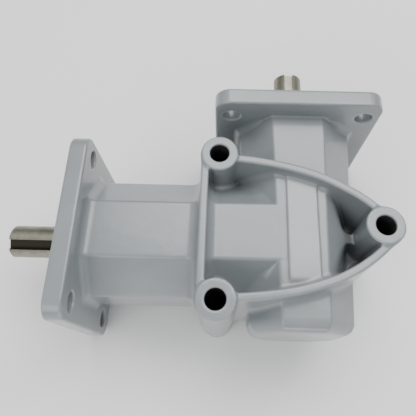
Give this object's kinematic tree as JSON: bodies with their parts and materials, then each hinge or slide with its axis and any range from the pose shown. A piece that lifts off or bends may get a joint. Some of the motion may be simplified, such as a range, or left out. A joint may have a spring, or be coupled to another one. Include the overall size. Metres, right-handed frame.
{
  "type": "right angle bevel gearbox",
  "caption": "Right angle mitre gearbox: a cast housing with crossing octagonal barrels, square flanges and through-bored bosses, with a keyed shaft out of each flange.",
  "frame": {"origin": "centre of the output flange mounting face, on the output shaft axis", "axes": "+Y out of the output flange along the output shaft; -X is the way the input shaft points; +Z is the side that the boss faces point to"},
  "size_m": [0.2245, 0.175, 0.1],
  "materials": {
    "housing_paint": "gloss light grey paint on an aluminium die casting",
    "shaft_steel": "ground and turned bare steel",
    "gear_steel": "cut and hardened steel, oiled",
    "key_steel": "bright drawn steel",
    "spring_steel": "phosphated spring steel",
    "bearing_steel": "ground and polished bearing steel",
    "cage_steel": "pressed steel",
    "seal_rubber": "black nitrile rubber"
  },
  "bodies": {
    "housing": {"housing": "housing_paint", "input_shim": "key_steel", "output_shim": "key_steel", "input_front_circlip": "spring_steel", "input_rear_circlip": "spring_steel", "output_circlip": "spring_steel", "input_oil_seal": "seal_rubber", "output_oil_seal": "seal_rubber", "input_seal_spring": "spring_steel", "output_seal_spring": "spring_steel", "input_front_outer_ring": "bearing_steel", "input_rear_outer_ring": "bearing_steel", "output_lower_outer_ring": "bearing_steel", "output_upper_outer_ring": "bearing_steel"},
    "input_shaft": {"input_shaft": "shaft_steel", "input_bevel_gear": "gear_steel", "input_gear_key": "key_steel", "input_gear_circlip": "spring_steel", "input_spacer_sleeve": "key_steel", "input_front_inner_ring": "bearing_steel", "input_rear_inner_ring": "bearing_steel"},
    "output_shaft": {"output_shaft": "shaft_steel", "output_bevel_gear": "gear_steel", "output_gear_key": "key_steel", "output_lower_inner_ring": "bearing_steel", "output_upper_inner_ring": "bearing_steel"},
    "input_front_cage": {"input_front_balls": "bearing_steel", "input_front_cage": "cage_steel"},
    "input_rear_cage": {"input_rear_balls": "bearing_steel", "input_rear_cage": "cage_steel"},
    "output_lower_cage": {"output_lower_balls": "bearing_steel", "output_lower_cage": "cage_steel"},
    "output_upper_cage": {"output_upper_balls": "bearing_steel", "output_upper_cage": "cage_steel"}
  },
  "joints": [
    {"name": "input_spin", "type": "hinge", "parent": "housing", "child": "input_shaft", "pos_m": [-0.13, -0.082, 0], "axis": [1, 0, 0], "continuous": true},
    {"name": "output_spin", "type": "hinge", "parent": "housing", "child": "output_shaft", "pos_m": [0, 0, 0], "axis": [0, 1, 0], "continuous": true},
    {"name": "input_front_cage_spin", "type": "hinge", "parent": "housing", "child": "input_front_cage", "pos_m": [-0.1095, -0.082, 0], "axis": [1, 0, 0], "continuous": true},
    {"name": "input_rear_cage_spin", "type": "hinge", "parent": "housing", "child": "input_rear_cage", "pos_m": [-0.0395, -0.082, 0], "axis": [1, 0, 0], "continuous": true},
    {"name": "output_lower_cage_spin", "type": "hinge", "parent": "housing", "child": "output_lower_cage", "pos_m": [0, -0.121, 0], "axis": [0, 1, 0], "continuous": true},
    {"name": "output_upper_cage_spin", "type": "hinge", "parent": "housing", "child": "output_upper_cage", "pos_m": [0, -0.0225, 0], "axis": [0, 1, 0], "continuous": true}
  ],
  "couplings": [
    {"joint": "output_spin", "follows": "input_spin", "ratio": -1},
    {"joint": "input_front_cage_spin", "follows": "input_spin", "ratio": 0.3977},
    {"joint": "input_rear_cage_spin", "follows": "input_spin", "ratio": 0.3977},
    {"joint": "output_lower_cage_spin", "follows": "input_spin", "ratio": -0.3824},
    {"joint": "output_upper_cage_spin", "follows": "input_spin", "ratio": -0.3977}
  ]
}
